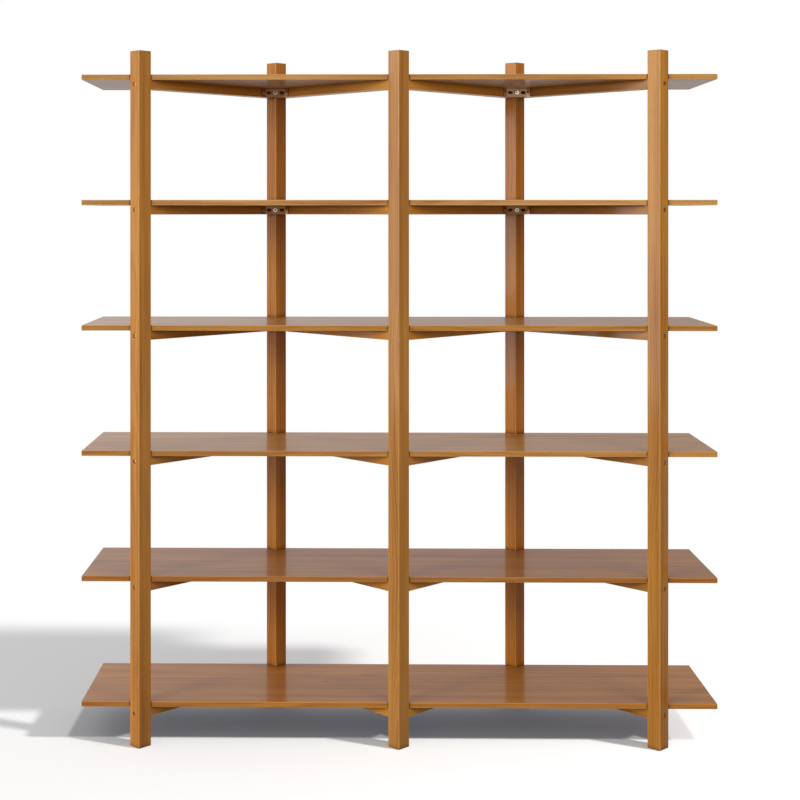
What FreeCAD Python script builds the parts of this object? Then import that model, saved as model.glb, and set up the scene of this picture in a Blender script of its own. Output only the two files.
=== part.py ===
"""A zigzag bookcase of solid wood, built as it comes apart on a bench.

Five square posts stand turned on edge in two rows, three in front and two behind.
Diagonal rails run from post to post in a zigzag under each of six full-length shelves.
At the two end posts a bolt goes through the post into the end of its one rail. At the
other three posts a steel corner bracket bridges the two rails, and its bolt pulls the
corner of the post into them. Millimetres, +Z up, front towards -Y, and the origin on
the floor in the middle of the plan.
"""
import FreeCAD, Part
import math
import os

# Posts
post_side = 42.0
post_pitch = 720.0
post_above_top_shelf = 65.0
post_edge_radius = 2.0
post_end_chamfer = 1.0

# Shelves
shelf_thickness = 15.0
shelf_pitch = 350.0
lowest_shelf_top = 122.0
shelf_overhang = 165.0
shelf_edge_radius = 1.2
shelf_notch_clearance = 1.0

# Rails
rail_width = 36.0
rail_height = 26.0
rail_edge_radius = 1.5

# Through bolts at the end posts, with their barrel nuts
through_bolt_diameter = 6.0
through_bolt_length = 70.0
through_bolt_head_diameter = 10.0
through_bolt_head_height = 6.0
through_bolt_key_width = 5.0
through_bolt_key_depth = 3.0
through_bolt_recess_diameter = 12.5
through_bolt_recess_depth = 7.0
barrel_nut_diameter = 10.0
barrel_nut_length = 16.0
barrel_nut_inset = 30.0
barrel_nut_slot_width = 1.5
barrel_nut_slot_depth = 1.5
bolt_tip_room = 3.0

# Corner brackets and their bolts, inserts and screws
bracket_web_width = 60.0
bracket_flange_length = 14.0
bracket_thickness = 2.0
bracket_end_gap = 0.5
bracket_bend_radius = 2.0
bracket_slot_length = 14.0
bracket_slot_height = 9.0
bracket_slot_centre = 19.5
corner_bolt_diameter = 8.0
corner_bolt_length = 50.0
corner_bolt_head_diameter = 13.0
corner_bolt_head_height = 6.0
corner_bolt_key_width = 6.0
corner_bolt_key_depth = 4.0
insert_diameter = 12.0
insert_length = 18.0
insert_setback = 0.8
bracket_screw_diameter = 4.0
bracket_screw_length = 18.0
bracket_screw_head_diameter = 7.5
bracket_screw_head_height = 2.6
bracket_screw_from_bend = 8.0

# Dowels in the rail ends
dowel_diameter = 6.0
dowel_in_post = 12.0
dowel_in_rail = 18.0
dowel_offset = 11.0
dowel_chamfer = 0.8

# Screws that go up through the rails into the shelves
shelf_screw_diameter = 4.5
shelf_screw_head_diameter = 8.5
shelf_screw_head_height = 3.0
shelf_screw_recess_depth = 5.0
shelf_screw_recess_diameter = 10.0
shelf_screw_bite = 10.0
shelf_screw_from_post = 130.0

# Fits shared by all fasteners
bore_clearance = 0.2
hole_end_room = 0.6
screw_tip_share = 0.25
cross_arm_share = 0.55
cross_width_share = 0.14
cross_depth_share = 0.6
head_round_share = 0.3
cut_overrun = 5.0

# Counts that make this a bookcase of two bays and six shelves
shelf_count = 6
bay_count = 2

# Places that follow from the sizes above
row_gap = post_pitch / 2
front_row_y = -row_gap / 2
back_row_y = row_gap / 2
post_height = lowest_shelf_top + (shelf_count - 1) * shelf_pitch + post_above_top_shelf
post_turn = math.degrees(math.atan2(row_gap, post_pitch / 2))
post_half_diagonal = post_side / math.sqrt(2)
insert_face = post_half_diagonal - insert_diameter / 2 - insert_setback
half_length = bay_count * post_pitch / 2 + shelf_overhang
rail_inner_apex = rail_width / math.sqrt(2)
bracket_height = rail_height - 2 * bracket_end_gap
bracket_web_back = rail_inner_apex + bracket_web_width / 2
bracket_web_front = bracket_web_back + bracket_thickness
barrel_nut_place = post_side / 2 + barrel_nut_inset

UP = FreeCAD.Vector(0, 0, 1)
DOWN = FreeCAD.Vector(0, 0, -1)
TO_BACK = FreeCAD.Vector(0, 1, 0)
TO_FRONT = FreeCAD.Vector(0, -1, 0)

POSTS = {
    "front_left": FreeCAD.Vector(-post_pitch, front_row_y, 0),
    "front_centre": FreeCAD.Vector(0, front_row_y, 0),
    "front_right": FreeCAD.Vector(post_pitch, front_row_y, 0),
    "back_left": FreeCAD.Vector(-post_pitch / 2, back_row_y, 0),
    "back_right": FreeCAD.Vector(post_pitch / 2, back_row_y, 0),
}

# Each rail: its name, its post in the front row and its post in the back row
RAILS = (
    ("left_outer", "front_left", "back_left"),
    ("left_inner", "front_centre", "back_left"),
    ("right_inner", "front_centre", "back_right"),
    ("right_outer", "front_right", "back_right"),
)

# The way that the corner between two rails opens, for each post that carries two
BRACKET_POSTS = {
    "front_centre": TO_BACK,
    "back_left": TO_FRONT,
    "back_right": TO_FRONT,
}


def levels():
    """The numbers of the shelves, from the bottom up."""
    return range(1, shelf_count + 1)


def shelf_top(level):
    """Height of the top face of a shelf, with level 1 at the bottom."""
    return lowest_shelf_top + (level - 1) * shelf_pitch


def rail_middle(level):
    """Height of the middle of the rails under a shelf."""
    return shelf_top(level) - shelf_thickness - rail_height / 2


def at_level(shape, level):
    """A copy of a shape made round the middle height of the rails, raised to its level."""
    return shape.translated(UP * rail_middle(level))


def unit_from(start, end):
    """The level direction from one post to another."""
    direction = end - start
    return direction.normalize()


def inner_side(away, opening):
    """The side of a rail that faces into the corner between two rails."""
    across = opening - away * opening.dot(away)
    return across.normalize()


def bar(start, direction, radius, length):
    """A round bar, as a pin or as the tool for a bore."""
    return Part.makeCylinder(radius, length, start, direction)


def bore(start, direction, diameter, length):
    """The tool for a round hole that gives a fastener its clearance."""
    return bar(start, direction, diameter / 2 + bore_clearance, length)


def hex_socket(start, direction, width, depth):
    """The tool for a hexagon socket, open at start and going in along direction."""
    radius = width / math.sqrt(3)
    corners = [
        FreeCAD.Vector(radius * math.cos(turn * math.pi / 3), radius * math.sin(turn * math.pi / 3), 0)
        for turn in range(6)
    ]
    face = Part.Face(Part.makePolygon(corners + corners[:1]))
    socket = face.extrude(UP * depth)
    return placed(socket, start, direction)


def placed(shape, start, direction):
    """A shape made along +Z from the origin, put at start to point along direction."""
    shape.Placement = FreeCAD.Placement(start, FreeCAD.Rotation(UP, direction))
    return shape


def round_top(shape, height, diameter, radius):
    """Round the rim of a head whose crown is at a height along +Z."""
    rims = [
        edge for edge in shape.Edges
        if edge.Closed and abs(edge.CenterOfMass.z - height) < radius and edge.Length > diameter
    ]
    return shape.makeFillet(radius, rims)


def socket_bolt(start, direction, diameter, length, head_diameter, head_height, key_width, key_depth):
    """A bolt with a hexagon socket. start is under the head and direction is towards the tip."""
    head = bar(FreeCAD.Vector(), UP, head_diameter / 2, head_height)
    head = round_top(head, head_height, head_diameter, head_height * head_round_share / 2)
    head = head.cut(hex_socket(UP * (head_height - key_depth), UP, key_width, key_depth + cut_overrun))
    head = placed(head, start, direction * -1)
    shank = bar(start, direction, diameter / 2, length)
    return head.fuse(shank).removeSplitter()


def wood_screw(start, direction, diameter, length, head_diameter, head_height):
    """A round-headed wood screw with a cross recess and a pointed tip."""
    head = bar(FreeCAD.Vector(), UP, head_diameter / 2, head_height)
    head = round_top(head, head_height, head_diameter, head_height * head_round_share)
    arm = head_diameter * cross_arm_share
    arm_width = head_diameter * cross_width_share
    recess_floor = head_height * (1 - cross_depth_share)
    for long_x, long_y in ((arm, arm_width), (arm_width, arm)):
        corner = FreeCAD.Vector(-long_x / 2, -long_y / 2, recess_floor)
        head = head.cut(Part.makeBox(long_x, long_y, head_height, corner))
    head = placed(head, start, direction * -1)
    tip_length = length * screw_tip_share
    shank = bar(start, direction, diameter / 2, length - tip_length)
    tip = Part.makeCone(diameter / 2, 0, tip_length, start + direction * (length - tip_length), direction)
    return head.fuse(shank).fuse(tip).removeSplitter()


def dowel_places(end_post):
    """Offsets of the dowels from the middle of a rail, positive towards the inner side.

    A rail on an end post has a dowel each side of its bolt. Where two rails meet on one
    post only the outer dowel fits, because the bracket bolt enters between them.
    """
    return (-dowel_offset, dowel_offset) if end_post else (-dowel_offset,)


def rail_ends():
    """Every rail end as rail name, post name, post centre, direction away and inner side."""
    for rail, front, back in RAILS:
        for here, there in ((front, back), (back, front)):
            away = unit_from(POSTS[here], POSTS[there])
            opening = BRACKET_POSTS.get(here, TO_BACK)
            yield rail, here, POSTS[here], away, inner_side(away, opening)


def dowel_bores(centre, away, side, end_post):
    """The tools for the dowel holes across one joint between a post face and a rail."""
    depth = dowel_in_post + dowel_in_rail + 2 * hole_end_room
    start = away * (post_side / 2 - dowel_in_post - hole_end_room)
    return [
        bore(centre + start + side * offset, away, dowel_diameter, depth)
        for offset in dowel_places(end_post)
    ]


def through_bolt_bores(centre, away):
    """The tools for a through bolt: its hole across the post and rail, and its head recess."""
    face = centre - away * (post_side / 2)
    seat = face + away * through_bolt_recess_depth
    recess = bar(face - away * cut_overrun, away, through_bolt_recess_diameter / 2,
                 through_bolt_recess_depth + cut_overrun)
    hole = bore(seat, away, through_bolt_diameter, through_bolt_length + bolt_tip_room)
    return [recess, hole]


def bracket_frame(post):
    """Centre of a post with two rails, the way their corner opens, and the way across it."""
    opening = BRACKET_POSTS[post]
    return POSTS[post], opening, opening.cross(UP)


def corner_bolt_bores(post):
    """The tools in a post for the insert nut and for the bolt that goes past it."""
    centre, opening, across = bracket_frame(post)
    pocket = bore(centre + opening * (insert_face - insert_length), opening, insert_diameter,
                  insert_length + insert_diameter)
    tip = bracket_web_front - corner_bolt_length - bolt_tip_room
    hole = bore(centre + opening * tip, opening, corner_bolt_diameter, post_side)
    return [pocket, hole]


def make_post(name):
    """One square post, turned on edge, with the bores of every level."""
    corner = FreeCAD.Vector(-post_side / 2, -post_side / 2, 0)
    post = Part.makeBox(post_side, post_side, post_height, corner)
    upright = [edge for edge in post.Edges if edge.BoundBox.ZLength > post_height / 2]
    post = post.makeFillet(post_edge_radius, upright)
    ends = [edge for edge in post.Edges if edge.BoundBox.ZLength < post_edge_radius / 2]
    post = post.makeChamfer(post_end_chamfer, ends)
    post.Placement = FreeCAD.Placement(POSTS[name], FreeCAD.Rotation(UP, post_turn))
    tools = []
    for rail, here, centre, away, side in rail_ends():
        if here != name:
            continue
        end_post = name not in BRACKET_POSTS
        tools += dowel_bores(centre, away, side, end_post)
        if end_post:
            tools += through_bolt_bores(centre, away)
    if name in BRACKET_POSTS:
        tools += corner_bolt_bores(name)
    return post.cut([at_level(tool, level) for level in levels() for tool in tools])


def shelf_screw_places(rail):
    """Where the shelf screws stand in plan: near each end of a rail, on its centre line."""
    return [
        centre + away * shelf_screw_from_post
        for name, here, centre, away, side in rail_ends() if name == rail
    ]


def make_rail(rail):
    """One rail round its own middle height, square-cut between two post faces."""
    front, back = [(POSTS[a], POSTS[b]) for name, a, b in RAILS if name == rail][0]
    away = unit_from(front, back)
    length = front.distanceToPoint(back) - post_side
    box = Part.makeBox(length, rail_width, rail_height,
                       FreeCAD.Vector(0, -rail_width / 2, -rail_height / 2))
    long_edges = [edge for edge in box.Edges if edge.BoundBox.XLength > length / 2]
    blank = box.makeFillet(rail_edge_radius, long_edges)
    turn = FreeCAD.Rotation(FreeCAD.Vector(1, 0, 0), away)
    blank.Placement = FreeCAD.Placement(front + away * (post_side / 2), turn)
    tools = []
    for name, here, centre, outward, side in rail_ends():
        if name != rail:
            continue
        end_post = here not in BRACKET_POSTS
        tools += dowel_bores(centre, outward, side, end_post)
        if end_post:
            tools += through_bolt_bores(centre, outward)
            tools += [barrel_nut_bore(centre, outward)]
        else:
            start, inward = bracket_screw_seat(centre, outward, side)
            tools += [bore(start, inward, bracket_screw_diameter, bracket_screw_length + hole_end_room)]
            opening = BRACKET_POSTS[here]
            tools += [bore(centre, opening, corner_bolt_diameter, bracket_web_back)]
    underside = DOWN * (rail_height / 2)
    for place in shelf_screw_places(rail):
        tools += [
            bar(place + underside + DOWN * cut_overrun, UP, shelf_screw_recess_diameter / 2,
                shelf_screw_recess_depth + cut_overrun),
            bore(place + underside, UP, shelf_screw_diameter, rail_height + cut_overrun),
        ]
    return blank.cut(tools)


def barrel_nut_bore(centre, away):
    """The tool for the upright hole that takes a barrel nut, open under the rail."""
    top = barrel_nut_length / 2 + hole_end_room
    place = centre + away * barrel_nut_place
    return bore(place + UP * top, DOWN, barrel_nut_diameter, top + rail_height)


def make_barrel_nut(centre, away):
    """A barrel nut across the end of a rail, with its thread hole and a screwdriver slot."""
    place = centre + away * barrel_nut_place
    base = place + DOWN * (barrel_nut_length / 2)
    nut = bar(base, UP, barrel_nut_diameter / 2, barrel_nut_length)
    thread = bore(place - away * barrel_nut_diameter, away, through_bolt_diameter, 2 * barrel_nut_diameter)
    slot = Part.makeBox(barrel_nut_diameter, barrel_nut_slot_width, barrel_nut_slot_depth,
                        FreeCAD.Vector(-barrel_nut_diameter / 2, -barrel_nut_slot_width / 2, 0))
    slot.Placement = FreeCAD.Placement(base, FreeCAD.Rotation(FreeCAD.Vector(1, 0, 0), away))
    return nut.cut([thread, slot])


def make_through_bolt(centre, away):
    """The bolt of an end post, its head sunk in the outer face."""
    seat = centre - away * (post_side / 2 - through_bolt_recess_depth)
    return socket_bolt(seat, away, through_bolt_diameter, through_bolt_length,
                       through_bolt_head_diameter, through_bolt_head_height,
                       through_bolt_key_width, through_bolt_key_depth)


def make_dowels(centre, away, side, end_post):
    """The dowels of one joint, with eased ends."""
    length = dowel_in_post + dowel_in_rail
    dowels = []
    for offset in dowel_places(end_post):
        pin = bar(FreeCAD.Vector(), UP, dowel_diameter / 2, length)
        rims = [edge for edge in pin.Edges if edge.Closed]
        pin = pin.makeChamfer(dowel_chamfer, rims)
        start = centre + away * (post_side / 2 - dowel_in_post) + side * offset
        dowels.append(placed(pin, start, away))
    return dowels


def bracket_screw_seat(centre, away, side):
    """Where a bracket screw enters the inner face of a rail, and the way that it goes in."""
    bend = (rail_inner_apex + bracket_web_width) / math.sqrt(2)
    along = bend + bracket_screw_from_bend
    return centre + away * along + side * (rail_width / 2), side * -1


def make_bracket(post):
    """A bent steel strip across the corner between two rails, round its middle height.

    In plan the web stands square to the opening of the corner, and the two flanges lie on
    the inner faces of the rails, away from the post.
    """
    centre, opening, across = bracket_frame(post)
    half_web = bracket_web_width / 2
    reach = half_web + bracket_flange_length / math.sqrt(2)
    front_gain = bracket_thickness * math.sqrt(2)
    front_half_web = half_web - (front_gain - bracket_thickness)
    end_shift = bracket_thickness / math.sqrt(2)
    right_half = [
        (half_web, bracket_web_back),
        (reach, rail_inner_apex + reach),
        (reach - end_shift, rail_inner_apex + reach + end_shift),
        (front_half_web, bracket_web_front),
    ]
    left_half = [(-x, y) for x, y in reversed(right_half)]
    lower = DOWN * (bracket_height / 2)
    corners = [centre + across * x + opening * y + lower for x, y in right_half + left_half]
    strip = Part.Face(Part.makePolygon(corners + corners[:1])).extrude(UP * bracket_height)
    for back_x, back_y, radius in (
        (half_web, bracket_web_back, bracket_bend_radius + bracket_thickness),
        (front_half_web, bracket_web_front, bracket_bend_radius),
    ):
        for x in (-back_x, back_x):
            bend = centre + across * x + opening * back_y
            near = [
                edge for edge in strip.Edges
                if edge.BoundBox.ZLength > bracket_height / 2
                and edge.CenterOfMass.distanceToPoint(bend) < bracket_thickness / 2
            ]
            strip = strip.makeFillet(radius, near)
    tools = [bore(centre, opening, corner_bolt_diameter, bracket_web_front + cut_overrun)]
    for x in (-bracket_slot_centre, bracket_slot_centre):
        tools.append(slot_tool(centre + across * x, opening, across))
    for name, here, rail_centre, away, side in rail_ends():
        if here == post:
            seat, inward = bracket_screw_seat(rail_centre, away, side)
            start = seat - inward * (bracket_thickness + cut_overrun)
            tools.append(bore(start, inward, bracket_screw_diameter, bracket_thickness + 2 * cut_overrun))
    return strip.cut(tools)


def slot_tool(place, opening, across):
    """The tool for one long slot with round ends, cut through the web of a bracket."""
    half_straight = (bracket_slot_length - bracket_slot_height) / 2
    depth = bracket_web_front + cut_overrun
    ends = [bar(place + across * x, opening, bracket_slot_height / 2, depth)
            for x in (-half_straight, half_straight)]
    middle = Part.makeBox(2 * half_straight, bracket_slot_height, depth,
                          FreeCAD.Vector(-half_straight, -bracket_slot_height / 2, 0))
    middle.Placement = FreeCAD.Placement(place, FreeCAD.Rotation(across, opening.cross(across), opening))
    return ends[0].fuse([ends[1], middle])


def make_corner_bolt(post):
    """The bolt that draws the corner of a post towards its bracket."""
    centre, opening, across = bracket_frame(post)
    seat = centre + opening * bracket_web_front
    return socket_bolt(seat, opening * -1, corner_bolt_diameter, corner_bolt_length,
                       corner_bolt_head_diameter, corner_bolt_head_height,
                       corner_bolt_key_width, corner_bolt_key_depth)


def make_insert(post):
    """The threaded insert nut in the corner of a post."""
    centre, opening, across = bracket_frame(post)
    start = centre + opening * (insert_face - insert_length)
    body = bar(start, opening, insert_diameter / 2, insert_length)
    return body.cut(bore(start, opening, corner_bolt_diameter, insert_length))


def make_bracket_screws(post):
    """The two screws that hold the flanges of a bracket to the rails."""
    screws = []
    for name, here, centre, away, side in rail_ends():
        if here == post:
            seat, inward = bracket_screw_seat(centre, away, side)
            start = seat - inward * bracket_thickness
            screws.append(wood_screw(start, inward, bracket_screw_diameter, bracket_screw_length,
                                     bracket_screw_head_diameter, bracket_screw_head_height))
    return screws


def make_shelf_screw(place):
    """A screw that goes up through a rail into the shelf, round the middle height of the rail."""
    seat = place + DOWN * (rail_height / 2 - shelf_screw_recess_depth)
    length = rail_height - shelf_screw_recess_depth + shelf_screw_bite
    return wood_screw(seat, UP, shelf_screw_diameter, length,
                      shelf_screw_head_diameter, shelf_screw_head_height)


def make_shelf():
    """One full-length shelf round the height of its underside, notched round the posts.

    Its long edges lie on the centre planes of the two rows of posts, and each notch is a
    right-angled cut that keeps one clearance to both faces of its post.
    """
    notch = post_half_diagonal + shelf_notch_clearance * math.sqrt(2)
    front = [FreeCAD.Vector(-half_length, front_row_y, 0)]
    back = [FreeCAD.Vector(-half_length, back_row_y, 0)]
    for name in sorted(POSTS, key=lambda post: POSTS[post].x):
        edge, inward = (front, TO_BACK) if POSTS[name].y < 0 else (back, TO_FRONT)
        across = FreeCAD.Vector(notch, 0, 0)
        edge += [POSTS[name] - across, POSTS[name] + inward * notch, POSTS[name] + across]
    front.append(FreeCAD.Vector(half_length, front_row_y, 0))
    back.append(FreeCAD.Vector(half_length, back_row_y, 0))
    outline = front + back[::-1]
    board = Part.Face(Part.makePolygon(outline + outline[:1])).extrude(UP * shelf_thickness)
    rims = [edge for edge in board.Edges if edge.BoundBox.ZLength < shelf_thickness / 2]
    board = board.makeFillet(shelf_edge_radius, rims)
    pilots = [
        bore(place, UP, shelf_screw_diameter, shelf_screw_bite + hole_end_room)
        for rail, a, b in RAILS for place in shelf_screw_places(rail)
    ]
    return board.cut(pilots)


def save(name, shapes):
    """Write one sub-part, as one solid or as a group of separate solids."""
    solids = [solid for shape in shapes for solid in shape.Solids]
    shape = solids[0] if len(solids) == 1 else Part.makeCompound(solids)
    shape.exportStep("parts/" + name + ".step")


def save_group(name, shapes):
    """Write the like pieces of every level as one group."""
    save(name, [at_level(shape, level) for level in levels() for shape in shapes])


os.makedirs("parts", exist_ok=True)

for post_name in POSTS:
    save("post_" + post_name, [make_post(post_name)])

shelf = make_shelf()
rails = {rail: make_rail(rail) for rail, front, back in RAILS}
brackets = {post: make_bracket(post) for post in BRACKET_POSTS}
for level in levels():
    save("shelf_" + str(level), [shelf.translated(UP * (shelf_top(level) - shelf_thickness))])
    for rail, blank in rails.items():
        save("rail_" + str(level) + "_" + rail, [at_level(blank, level)])
    for post, strip in brackets.items():
        save("corner_bracket_" + str(level) + "_" + post, [at_level(strip, level)])

end_joints = [(centre, away) for rail, here, centre, away, side in rail_ends() if here not in BRACKET_POSTS]
save_group("through_bolts", [make_through_bolt(centre, away) for centre, away in end_joints])
save_group("barrel_nuts", [make_barrel_nut(centre, away) for centre, away in end_joints])
save_group("corner_bolts", [make_corner_bolt(post) for post in BRACKET_POSTS])
save_group("insert_nuts", [make_insert(post) for post in BRACKET_POSTS])
save_group("bracket_screws", [screw for post in BRACKET_POSTS for screw in make_bracket_screws(post)])
save_group("dowels", [
    pin for rail, here, centre, away, side in rail_ends()
    for pin in make_dowels(centre, away, side, here not in BRACKET_POSTS)
])
save_group("shelf_screws", [
    make_shelf_screw(place) for rail, front, back in RAILS for place in shelf_screw_places(rail)
])
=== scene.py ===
import math
import random

import bpy
from mathutils import Matrix, Vector


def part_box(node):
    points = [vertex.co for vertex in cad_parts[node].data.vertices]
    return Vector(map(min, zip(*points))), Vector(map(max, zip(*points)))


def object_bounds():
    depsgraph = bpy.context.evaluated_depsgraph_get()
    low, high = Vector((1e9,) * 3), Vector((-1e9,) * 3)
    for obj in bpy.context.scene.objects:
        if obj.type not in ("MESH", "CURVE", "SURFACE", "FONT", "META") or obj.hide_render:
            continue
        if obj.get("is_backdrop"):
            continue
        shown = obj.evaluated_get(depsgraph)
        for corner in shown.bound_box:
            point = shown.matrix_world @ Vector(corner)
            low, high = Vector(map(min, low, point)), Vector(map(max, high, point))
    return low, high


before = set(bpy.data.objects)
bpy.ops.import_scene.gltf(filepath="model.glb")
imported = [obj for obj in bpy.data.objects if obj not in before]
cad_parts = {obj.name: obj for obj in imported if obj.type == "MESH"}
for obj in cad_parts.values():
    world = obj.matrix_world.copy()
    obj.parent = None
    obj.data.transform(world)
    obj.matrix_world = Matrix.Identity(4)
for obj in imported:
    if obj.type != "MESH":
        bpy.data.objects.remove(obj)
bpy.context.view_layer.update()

# Sizes of the bookcase that the grain and the paler edges follow, in metres.
post_half = 0.021
shelf_half_depth = 0.180
shelf_half_thickness = 0.0075
rail_half_width = 0.018
rail_half_height = 0.013
levels = range(1, 7)

# Colours of wood and steel, as linear light. Stains go from the paler fibres to the darker ones.
pale_stain = (0.635, 0.290, 0.044)
deep_stain = (0.285, 0.088, 0.010)
# Painted shade for the corners where pieces meet.
painted_corner_shade = (0.072, 0.022, 0.004, 1.0)
end_grain_stain = (0.230, 0.075, 0.013)
end_pale_tone = (1.35, 1.4, 1.45)
end_deep_tone = (0.70, 0.62, 0.60)
bare_beech = (0.640, 0.440, 0.260)
beech_fleck = (0.500, 0.310, 0.165)
# Painted shade for the recesses of the steel.
painted_recess_shade = (0.040, 0.018, 0.006, 1.0)

# Fineness of each layer of the wood, in cycles per metre along the grain and across it.
sway_cycles = (1.3, 5.0)
fibre_cycles = (9.0, 640.0)
streak_cycles = (1.7, 120.0)
band_cycles = (0.8, 26.0)
drift_cycles = (2.2, 7.0)
pore_cycles = (55.0, 1500.0)

# How far each layer moves the stain between deep, which is 0, and pale, which is 1. The depth of
# the rings is for a figure of 1, and late_mean is how dark a ring is on average.
middle_stain = 0.54
ring_depth = 0.34
late_mean = 0.35
fibre_depth = 0.80
streak_depth = 0.85
band_depth = 0.90
drift_depth = 0.60
pore_depth = 0.22
eye_depth = 0.9

# The growth rings: how far the line at their heart swerves, in metres, how much further it lies
# sideways than up, and how narrow the late wood is.
heart_swerve = 0.055
heart_sideways = 1.6
late_narrowness = 2.2

# Pin knots: how wide one is for its length, how far it pushes the rings, and where its dark spot
# begins and is full, as shares of its own size, squared.
eye_width_share = 0.42
eye_push = 9.0
eye_rim = 0.30
eye_core = 0.02

# End grain: the turn of a face towards the grain from which and by which it counts as an end,
# and how much of the end colour it takes.
end_from = 0.55
end_by = 0.90
end_share = 0.75

# How the edges are paler, partly as wear and partly as a painted highlight: where that begins and
# is full, in metres past the edge, how ragged that is, how much of it shows, and how much paler the stain is
# there.
pale_edge_from = -0.0024
pale_edge_by = -0.0008
pale_edge_raggedness = 0.0009
pale_edge_share = 0.60
pale_edge_paleness = 1.25

# Painted shade where pieces meet: the openness from which and by which the wood is darker,
# how much of its colour shows, and how much lacquer there is in the open and less in corners.
shade_from = 0.80
shade_by = 0.34
shade_share = 0.88
lacquer = 0.36
lacquer_lost_in_corners = 0.28

# Height of the grain's relief and of the plating's, in metres.
grain_relief = 0.00012
plating_relief = 0.00006


class Wire:
    """A socket in a material's nodes. Sums and products of wires and numbers add Math nodes."""

    def __init__(self, tree, socket):
        self.tree = tree
        self.socket = socket

    def node(self, kind, settings, sockets, output=0):
        """Adds one node of any kind: its settings first, then the values or wires of its sockets."""
        made = self.tree.nodes.new(kind)
        for name, value in settings.items():
            setattr(made, name, value)
        for name, value in sockets.items():
            if isinstance(value, Wire):
                self.tree.links.new(value.socket, made.inputs[name])
            else:
                made.inputs[name].default_value = value
        return Wire(self.tree, made.outputs[output])

    def sibling(self, output):
        """Another output of the node that this socket is on."""
        return Wire(self.tree, self.socket.node.outputs[output])

    def calculate(self, operation, left, right=0.0):
        """One Math node with this operation on two values or wires."""
        return self.node("ShaderNodeMath", {"operation": operation}, {0: left, 1: right})

    def __add__(self, other):
        return self.calculate("ADD", self, other)

    def __radd__(self, other):
        return self.calculate("ADD", other, self)

    def __sub__(self, other):
        return self.calculate("SUBTRACT", self, other)

    def __rsub__(self, other):
        return self.calculate("SUBTRACT", other, self)

    def __mul__(self, other):
        return self.calculate("MULTIPLY", self, other)

    def __rmul__(self, other):
        return self.calculate("MULTIPLY", other, self)

    def __truediv__(self, other):
        return self.calculate("DIVIDE", self, other)

    def __rtruediv__(self, other):
        return self.calculate("DIVIDE", other, self)

    def __pow__(self, other):
        return self.calculate("POWER", self, other)

    def __abs__(self):
        return self.calculate("ABSOLUTE", self)


def start_material(name):
    """An empty node material and the wire of its object coordinates."""
    material = bpy.data.materials.new(name)
    material.use_nodes = True
    tree = material.node_tree
    tree.nodes.clear()
    coordinates = tree.nodes.new("ShaderNodeTexCoord")
    return material, Wire(tree, coordinates.outputs["Object"])


def close_material(shader):
    """Links a shader's wire to the output of its material."""
    output = shader.tree.nodes.new("ShaderNodeOutputMaterial")
    shader.tree.links.new(shader.socket, output.inputs["Surface"])


def vector_math(operation, left, right, output=0):
    """One Vector Math node on a wire and a vector or a second wire."""
    return left.node("ShaderNodeVectorMath", {"operation": operation}, {0: left, 1: right}, output)


def spread(place, along, across):
    """Coordinates scaled by one number along the grain and another across it."""
    return vector_math("MULTIPLY", place, (along, across, across))


def cloud(place, detail=2.0, roughness=0.5):
    """Soft noise from 0 to 1."""
    return place.node("ShaderNodeTexNoise", {},
                      {"Vector": place, "Scale": 1.0, "Detail": detail, "Roughness": roughness})


def smooth(value, low, high):
    """0 where the value is under low, 1 where it is over high, and a smooth step between."""
    return value.node("ShaderNodeMapRange", {"interpolation_type": "SMOOTHSTEP"},
                      {"Value": value, "From Min": low, "From Max": high})


def blend(factor, first, second):
    """A colour between two colours."""
    return factor.node("ShaderNodeMix", {"data_type": "RGBA"}, {0: factor, 6: first, 7: second}, output=2)


def open_share(place, distance):
    """How open a place is to its surroundings within a distance: 1 in the open and 0 in a corner."""
    return place.node("ShaderNodeAmbientOcclusion", {"samples": 6}, {"Distance": distance}, output=1)


def tinted(colour, tone):
    """A colour as a socket wants it, each channel times its own tone."""
    return tuple(part * share for part, share in zip(colour, tone)) + (1.0,)


def board_turn(grain, face):
    """Euler angles that turn X to the grain and Z to the face of a board."""
    along = Vector(grain).normalized()
    out = Vector(face).normalized()
    side = out.cross(along)
    return Matrix((along, side, out)).transposed().to_euler()


def growth_rings(shifted, board, angle, heart, ring, eyes):
    """The growth rings of a board from 0 to 1, and a spot on each of its pin knots.

    They are circles round a line beside the board, which swerves slowly along it and round
    each pin knot.
    """
    sway_place = spread(shifted, *sway_cycles)
    sway = sway_place.node("ShaderNodeTexNoise", {},
                           {"Vector": sway_place, "Scale": 1.0, "Detail": 1.5}, output=1)
    centred = vector_math("SUBTRACT", sway, (0.5, 0.5, 0.5))
    bend = vector_math("MULTIPLY", centred, (0.0, heart_swerve, heart_swerve))
    swayed = vector_math("ADD", board, bend)
    heart_place = (0.0, -heart * math.sin(angle) * heart_sideways, heart * math.cos(angle))
    round_heart = vector_math("ADD", swayed, heart_place)

    parts = board.node("ShaderNodeSeparateXYZ", {}, {0: board})
    phase = 0.0
    spot = 0.0
    for eye_along, eye_across, eye_length in eyes:
        far_along = (parts - eye_along) / eye_length
        far_across = (parts.sibling(1) - eye_across) / (eye_length * eye_width_share)
        reach = far_along ** 2.0 + far_across ** 2.0
        phase = phase + eye_push / (1.0 + reach)
        spot = spot + smooth(reach, eye_rim, eye_core)

    # At a scale of 1 this texture turns by 20 radians per metre, and a ring is one full turn.
    ring_scale = 2 * math.pi / (20 * ring)
    rings = round_heart.node(
        "ShaderNodeTexWave",
        {"wave_type": "RINGS", "rings_direction": "X", "wave_profile": "SIN"},
        {"Vector": spread(round_heart, 0.05, 1.0), "Scale": ring_scale, "Distortion": 1.6,
         "Detail": 2.0, "Detail Scale": 0.35, "Detail Roughness": 0.55, "Phase Offset": phase},
        output=1)
    return rings, spot


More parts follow.
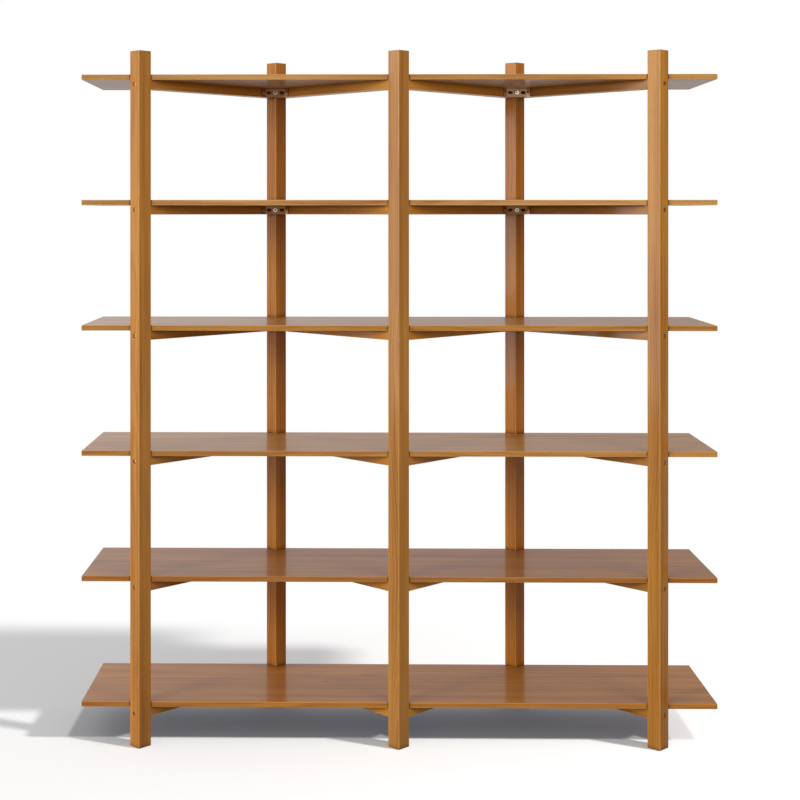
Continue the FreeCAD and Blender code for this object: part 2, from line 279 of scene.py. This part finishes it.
def stained_wood(name, grain, face, centre, half_sizes, seed, tone, heart, ring, figure,
                 eyes=(), shade_reach=0.022):
    """Solid wood with a honey stain under a satin lacquer, for one board.

    The grain runs along one direction. Long faces show streaks and arches of the growth rings,
    and the ends show arcs. Fine fibres, short pores and slow changes of tone lie over them, the
    ends drink more stain, and the edges are paler, partly as wear and partly as a painted
    highlight. heart is how far beside the board the heart of the tree was, ring the width of a
    growth ring, and figure how strongly the rings show. eyes are pin knots, each a place along and
    across the board with its length. The last argument is how far from other pieces the wood
    is darker with painted shade.
    """
    draw = random.Random(seed)
    material, place = start_material(name)
    normal = place.sibling("Normal")
    board = place.node("ShaderNodeMapping", {"vector_type": "TEXTURE"},
                       {"Vector": place, "Location": centre, "Rotation": board_turn(grain, face)})
    shift = (draw.uniform(3, 40), draw.uniform(-9, 9), draw.uniform(-9, 9))
    shifted = vector_math("ADD", board, shift)
    angle = draw.uniform(-0.6, 0.6)
    rings, spot = growth_rings(shifted, board, angle, heart, ring, eyes)
    late = rings ** late_narrowness

    fibres = cloud(spread(shifted, *fibre_cycles), 3.0, 0.62)
    streaks = cloud(spread(shifted, *streak_cycles), 3.0, 0.58)
    bands = cloud(spread(shifted, *band_cycles))
    drift = cloud(spread(shifted, *drift_cycles))
    pores = smooth(cloud(spread(shifted, *pore_cycles), 1.0), 0.60, 0.74)

    value = (middle_stain - (late - late_mean) * (ring_depth * figure) + (fibres - 0.5) * fibre_depth
             + (streaks - 0.5) * streak_depth + (bands - 0.5) * band_depth
             + (drift - 0.5) * drift_depth - pores * pore_depth)
    value = value - spot * eye_depth if eyes else value
    clipped = value.node("ShaderNodeClamp", {}, {"Value": value})
    colour = blend(clipped, tinted(deep_stain, tone), tinted(pale_stain, tone))

    # The ends of the board are darker, because they drink more stain.
    facing = vector_math("DOT_PRODUCT", normal, tuple(Vector(grain).normalized()), output=1)
    ends = smooth(abs(facing), end_from, end_by)
    end_colour = blend(clipped, tinted(end_grain_stain, end_deep_tone),
                       tinted(end_grain_stain, end_pale_tone))
    colour = blend(ends * end_share, colour, end_colour)

    # Painted shade: the wood is darker where other pieces are near on most sides.
    painted_shade = smooth(open_share(board, shade_reach), shade_from, shade_by)
    colour = blend(painted_shade * shade_share, colour, painted_corner_shade)

    # The edges are paler, partly as wear and partly as a painted highlight.
    parts = board.node("ShaderNodeSeparateXYZ", {}, {0: board})
    half_across, half_out = half_sizes
    to_side = abs(parts.sibling(1)) - half_across
    to_face = abs(parts.sibling(2)) - half_out
    nearest = to_side.calculate("MINIMUM", to_side, to_face)
    pale_edges = smooth(nearest + (fibres - 0.5) * pale_edge_raggedness, pale_edge_from, pale_edge_by)
    pale_edge_tone = [pale_edge_paleness * share for share in tone]
    colour = blend(pale_edges * pale_edge_share * (1.0 - ends), colour, tinted(pale_stain, pale_edge_tone))

    # Fibres and streaks stand out, and pores and late wood lie lower.
    relief = fibres * 0.45 + streaks * 0.2 - pores * 0.6 - late * 0.2
    bump = relief.node("ShaderNodeBump", {},
                       {"Strength": 0.35, "Distance": grain_relief, "Height": relief})
    shader = bump.node("ShaderNodeBsdfPrincipled", {}, {
        "Base Color": colour, "Roughness": 0.46 + (streaks - 0.5) * 0.16 + ends * 0.16,
        "Specular IOR Level": 0.12, "Normal": bump,
        "Coat Weight": lacquer - painted_shade * lacquer_lost_in_corners,
        "Coat Roughness": 0.12, "Coat IOR": 1.5})
    close_material(shader)
    return material


def plated_steel(name, colour, dull_colour, roughness, lines, reach=0.004, metallic=1.0):
    """Plated steel: cloudy plating, fine lines, faint stains, and painted shade in recesses.

    lines are the cycles per metre of the fine lines along X, Y and Z. Painted shade lies where other
    metal or wood is nearer than reach on most sides. metallic is under 1 where the plating is a
    little milky.
    """
    material, place = start_material(name)
    scratches = cloud(vector_math("MULTIPLY", place, lines), 2.0, 0.6)
    plating = cloud(spread(place, 160.0, 160.0), 3.0, 0.6)
    stains = smooth(cloud(spread(place, 60.0, 60.0), 4.0, 0.65), 0.52, 0.72)
    shade = blend(stains * 0.6 + plating * 0.25, (*colour, 1.0), (*dull_colour, 1.0))
    # Painted shade in recesses.
    shade = blend(smooth(open_share(place, reach), 0.72, 0.30), shade, painted_recess_shade)
    relief = scratches * 0.6 + plating * 0.4
    bump = relief.node("ShaderNodeBump", {},
                       {"Strength": 0.25, "Distance": plating_relief, "Height": relief})
    shader = bump.node("ShaderNodeBsdfPrincipled", {}, {
        "Base Color": shade, "Metallic": metallic, "Normal": bump,
        "Roughness": roughness + (plating - 0.5) * 0.20 + stains * 0.10})
    close_material(shader)
    return material


def beech(name):
    """Bare beech with the small dark flecks of its rays."""
    material, place = start_material(name)
    flecks = smooth(cloud(spread(place, 700.0, 700.0)), 0.54, 0.66)
    shade = blend(flecks * 0.7, (*bare_beech, 1.0), (*beech_fleck, 1.0))
    shader = flecks.node("ShaderNodeBsdfPrincipled", {}, {"Base Color": shade, "Roughness": 0.72})
    close_material(shader)
    return material


def finish_node(name, material):
    """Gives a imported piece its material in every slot."""
    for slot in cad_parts[name].material_slots:
        slot.material = material


# Seeds of the random draws. Each board adds its own number.
post_seeds = 11
shelf_seeds = 31
rail_seeds = 200

# Posts: the grain runs up, and their faces look half left and half right.
half_left = (-1.0, -1.0, 0.0)
# Each post's tone is a factor on its stain, partly the post's own tone and partly painted light and shade.
post_tones = {
    "front_left": (1.00, 0.98, 1.15),
    "front_centre": (0.93, 0.97, 1.36),
    "front_right": (1.01, 1.02, 1.02),
    "back_left": (0.97, 0.87, 1.00),
    "back_right": (1.03, 0.90, 0.74),
}
for number, (place_name, tone) in enumerate(post_tones.items()):
    node = "post_" + place_name
    low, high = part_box(node)
    wood = stained_wood("stained wood of " + node, (0, 0, 1), half_left, (low + high) / 2,
                        (post_half, post_half), seed=post_seeds + number, tone=tone,
                        heart=0.075, ring=0.0046, figure=0.55)
    finish_node(node, wood)

# Shelves: the grain runs along them, and three have a pin knot.
shelf_eyes = {
    1: ((-0.204, 0.005, 0.020),),
    2: ((-0.508, 0.059, 0.016),),
    4: ((0.310, -0.050, 0.014),),
}
# Each shelf's tone is a factor on its stain, partly the board's own tone and partly painted light and shade.
shelf_tones = {
    1: (0.90, 0.83, 0.95),
    2: (0.76, 0.70, 1.02),
    3: (0.95, 1.03, 1.70),
    4: (0.92, 0.98, 1.35),
    5: (1.08, 1.32, 3.00),
    6: (0.90, 1.02, 1.85),
}
for level in levels:
    node = "shelf_%d" % level
    low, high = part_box(node)
    wood = stained_wood("stained wood of " + node, (1, 0, 0), (0, 0, 1), (low + high) / 2,
                        (shelf_half_depth, shelf_half_thickness), seed=shelf_seeds + level,
                        tone=shelf_tones[level], heart=0.11, ring=0.0075, figure=0.6,
                        eyes=shelf_eyes.get(level, ()), shade_reach=0.009)
    finish_node(node, wood)

# Rails: two directions of the zigzag at each level. Each place has its own tone, which varies a
# little from rail to rail; it is partly the wood's own tone and partly painted light and shade.
rail_warmth = (1.0, 0.97, 0.94)
rails = {
    "left_outer": ((1, 1, 0), 1.08),
    "left_inner": ((-1, 1, 0), 1.22),
    "right_inner": ((1, 1, 0), 1.28),
    "right_outer": ((-1, 1, 0), 0.92),
}
for level in levels:
    for number, (rail, (grain, place_tone)) in enumerate(rails.items()):
        node = "rail_%d_%s" % (level, rail)
        low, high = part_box(node)
        draw = random.Random(100 * level + number)
        rail_tone = place_tone * draw.uniform(0.93, 1.07)
        wood = stained_wood("stained wood of " + node, grain, (0, 0, 1), (low + high) / 2,
                            (rail_half_width, rail_half_height),
                            seed=rail_seeds + 10 * level + number,
                            tone=tuple(rail_tone * share for share in rail_warmth),
                            heart=0.06, ring=0.0040, figure=0.5)
        finish_node(node, wood)

# Brackets: one plating in two copies. The darker, browner copy on all but one bracket is painted
# shade; the paler copy is on the bracket at the top back right.
rolled_lines = (30.0, 30.0, 900.0)
shaded_plate = plated_steel("zinc plate with painted shade", (0.50, 0.25, 0.11), (0.22, 0.10, 0.04),
                            roughness=0.38, lines=rolled_lines)
pale_plate = plated_steel("zinc plate", (0.84, 0.56, 0.35), (0.38, 0.22, 0.13),
                          roughness=0.36, lines=rolled_lines)
pale_bracket = "corner_bracket_6_back_right"
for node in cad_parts:
    if node.startswith("corner_bracket"):
        finish_node(node, pale_plate if node == pale_bracket else shaded_plate)

# Fasteners.
turned_lines = (500.0, 500.0, 500.0)
coarse_lines = (400.0, 400.0, 400.0)
bright_zinc = plated_steel("bright zinc", (0.80, 0.74, 0.63), (0.72, 0.65, 0.52),
                           roughness=0.16, lines=turned_lines, reach=0.010, metallic=0.85)
yellow_zinc = plated_steel("yellow zinc", (0.90, 0.40, 0.09), (0.55, 0.22, 0.04),
                           roughness=0.30, lines=turned_lines, reach=0.009, metallic=0.60)
nut_zinc = plated_steel("nut zinc", (0.62, 0.58, 0.52), (0.45, 0.40, 0.34),
                        roughness=0.30, lines=coarse_lines)
fastener_looks = {
    "through_bolts": yellow_zinc,
    "corner_bolts": bright_zinc,
    "bracket_screws": bright_zinc,
    "shelf_screws": bright_zinc,
    "barrel_nuts": nut_zinc,
    "insert_nuts": nut_zinc,
    "dowels": beech("bare beech"),
}
for node, look in fastener_looks.items():
    finish_node(node, look)

# The floor: its size in metres, its colour, the haze that lies over its shadows, how far out and
# how far back it turns to plain white, and how bright it is for light that falls on the pieces.
floor_radius = 30.0
floor_steps = 96
floor_seen = (0.725, 0.712, 0.695, 1.0)
floor_haze = (0.045, 0.056, 0.074, 1.0)
floor_bounce = (0.18, 0.18, 0.18, 1.0)
plain_white = (1.0, 1.0, 1.0, 1.0)
white_from_radius = 4.0
white_at_radius = 6.5
white_from_back = 0.86
white_at_back = 1.14

# The share of the floor that reflections show, which is larger towards the back and the left.
mirrored_least = 0.10
mirrored_more = 0.60
mirrored_from = -0.5
mirrored_to = 3.5

# The light of the world on the pieces, and what reflections show of it from left to right.
world_level = 0.50
mirrored_world_middle = 0.80
mirrored_world_slope = 0.95
mirrored_world_least = 0.06


def seen_directly(wire, glossy_share):
    """1 for rays of the camera and through glass, a share for reflections, and 0 for the rest.

    The rest is the light that falls on the pieces.
    """
    path = wire.tree.nodes.new("ShaderNodeLightPath")
    camera_ray = Wire(wire.tree, path.outputs["Is Camera Ray"])
    seen = camera_ray.calculate("MAXIMUM", camera_ray, camera_ray.sibling("Is Transmission Ray"))
    return seen.calculate("MAXIMUM", seen, camera_ray.sibling("Is Glossy Ray") * glossy_share)


def make_floor():
    """A round pale floor: its points are even steps round a circle, and it is white past the shadows."""
    rim = []
    for step in range(floor_steps):
        turn = 2 * math.pi * step / floor_steps
        rim.append((floor_radius * math.cos(turn), floor_radius * math.sin(turn), 0.0))
    mesh = bpy.data.meshes.new("floor")
    mesh.from_pydata(rim, [], [list(range(floor_steps))])
    floor = bpy.data.objects.new("floor", mesh)
    bpy.context.scene.collection.objects.link(floor)

    material, place = start_material("pale floor")
    matt = place.node("ShaderNodeBsdfDiffuse", {}, {"Color": floor_seen})
    haze = place.node("ShaderNodeEmission", {}, {"Color": floor_haze, "Strength": 1.0})
    shadowed = place.node("ShaderNodeAddShader", {}, {0: matt, 1: haze})
    white = place.node("ShaderNodeEmission", {}, {"Color": plain_white, "Strength": 1.0})
    bounce = place.node("ShaderNodeBsdfDiffuse", {}, {"Color": floor_bounce})

    distance = place.node("ShaderNodeVectorMath", {"operation": "LENGTH"}, {0: place}, output=1)
    rightward = place.node("ShaderNodeSeparateXYZ", {}, {0: place})
    behind = rightward.sibling(1)
    plain = distance.calculate("MAXIMUM", smooth(distance, white_from_radius, white_at_radius),
                          smooth(behind, white_from_back, white_at_back))
    shown = place.node("ShaderNodeMixShader", {}, {0: plain, 1: shadowed, 2: white})
    mirrored = mirrored_least + smooth(behind - rightward, mirrored_from, mirrored_to) * mirrored_more
    seen = seen_directly(place, mirrored)
    close_material(place.node("ShaderNodeMixShader", {}, {0: seen, 1: bounce, 2: shown}))
    mesh.materials.append(material)
    floor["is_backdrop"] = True
    return floor


def make_world():
    """A pale studio: white behind the pieces, even light on them, and dimmer reflections to the right."""
    world = bpy.data.worlds.new("studio")
    bpy.context.scene.world = world
    world.use_nodes = True
    tree = world.node_tree
    tree.nodes.clear()
    background = tree.nodes.new("ShaderNodeBackground")
    background.inputs["Color"].default_value = plain_white
    directions = Wire(tree, tree.nodes.new("ShaderNodeTexCoord").outputs["Generated"])
    rightward = directions.node("ShaderNodeSeparateXYZ", {}, {0: directions})
    mirrored = rightward.node("ShaderNodeClamp", {}, {
        "Value": mirrored_world_middle - rightward * mirrored_world_slope,
        "Min": mirrored_world_least, "Max": 1.0})
    path = tree.nodes.new("ShaderNodeLightPath")
    camera_ray = Wire(tree, path.outputs["Is Camera Ray"])
    strength = world_level + camera_ray.sibling("Is Glossy Ray") * (mirrored - world_level)
    seen = camera_ray.calculate("MAXIMUM", camera_ray, camera_ray.sibling("Is Transmission Ray"))
    strength = strength + seen * (1.0 - strength)
    tree.links.new(strength.socket, background.inputs["Strength"])
    output = tree.nodes.new("ShaderNodeOutputWorld")
    tree.links.new(background.outputs[0], output.inputs["Surface"])


def aimed(kind, name, towards, distance, target, **settings):
    """A lamp that stands in a direction from its target, at a distance, and looks at the target."""
    lamp = bpy.data.lights.new(name, kind)
    for setting, value in settings.items():
        setattr(lamp, setting, value)
    thing = bpy.data.objects.new(name, lamp)
    direction = Vector(towards).normalized()
    thing.location = Vector(target) + direction * distance
    thing.rotation_euler = direction.to_track_quat("Z", "Y").to_euler()
    bpy.context.scene.collection.objects.link(thing)
    return thing


def softbox(name, towards, distance, target, width, height, watts):
    """A lamp with an upright rectangle of light."""
    return aimed("AREA", name, towards, distance, target, shape="RECTANGLE", size=width,
                 size_y=height, energy=watts)


def round_lamp(name, towards, distance, target, width, watts):
    """A lamp with a disk of light."""
    return aimed("AREA", name, towards, distance, target, shape="DISK", size=width, energy=watts)


def group_of(name, pieces):
    """A collection that links these objects, for what a lamp lights or is shaded by."""
    group = bpy.data.collections.new(name)
    for piece in pieces:
        group.objects.link(piece)
    return group


def lights_only(lamp, pieces):
    """Lets a lamp light only these objects, while the others still cast their shadows on them."""
    lamp.light_linking.receiver_collection = group_of(lamp.name + " pieces", pieces)


def shaded_only_by(lamp, pieces):
    """Lets only these objects cast a shadow in the light of a lamp."""
    lamp.light_linking.blocker_collection = group_of(lamp.name + " shade", pieces)


floor = make_floor()
make_world()

# The bookcase is lit from the left front, with a weaker lamp at the left and one at the right front.
bookcase = list(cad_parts.values())
bookcase_middle = (0.0, 0.0, 0.95)
upper_middle = (0.0, 0.0, 1.3)
key = softbox("key softbox", (-7.4, -6.7, 2.35), 10.2, bookcase_middle, width=2.5, height=3.7, watts=475.0)
side = softbox("side softbox", (-6.2, -1.35, 0.65), 6.38, bookcase_middle, width=2.4, height=3.0, watts=86.0)
fill = softbox("fill softbox", (2.75, -3.05, 1.35), 4.32, upper_middle, width=1.9, height=1.9, watts=58.0)
fill.data.color = (1.0, 0.95, 0.88)
for lamp in (key, side, fill):
    lights_only(lamp, bookcase)

# The shadows on the floor come from the right front instead. One lamp throws the long shadows of
# the whole bookcase, and a steeper one the shadow under the lowest shelf.
floor_middle = (0.0, 0.0, 0.1)
floor_lamp = round_lamp("floor lamp", (7.4, -3.6, 5.8), 10.07, floor_middle, width=0.80, watts=1150.0)
steep_lamp = aimed("SUN", "steep floor lamp", (0.44, -0.63, 1.0), 8.0, bookcase_middle,
                   energy=1.10, angle=math.radians(5.0))
for lamp in (floor_lamp, steep_lamp):
    lights_only(lamp, [floor])
shaded_only_by(steep_lamp, [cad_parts["shelf_1"]])

# A small lamp that only the bolts in the brackets show, as a highlight on the one at the top right.
# It stands where the head of that bolt, as a mirror, shows it to the camera.
corner_bolts = [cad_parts["corner_bolts"]]
top_right_bolt = (0.36, 0.13, 1.844)
mirrored_way = (0.474, -4.524, 0.357)
highlight = round_lamp("bolt highlight", mirrored_way, 4.56, top_right_bolt, width=0.90, watts=15.0)
lights_only(highlight, corner_bolts)
shaded_only_by(highlight, corner_bolts)

# The camera, fitted to the edges in the photo. The shift keeps the posts upright and parallel.
camera_data = bpy.data.cameras.new("camera")
camera_data.sensor_width = 36.0
camera_data.lens = 68.08
camera_data.shift_x = 0.0772
camera_data.shift_y = -0.2345
camera = bpy.data.objects.new("camera", camera_data)
camera.location = (-0.1139, -4.3943, 1.4870)
camera.rotation_euler = (math.pi / 2, 0.0, 0.0129)
bpy.context.scene.collection.objects.link(camera)
bpy.context.scene.camera = camera
bpy.context.scene.view_settings.view_transform = "Standard"

low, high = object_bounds()
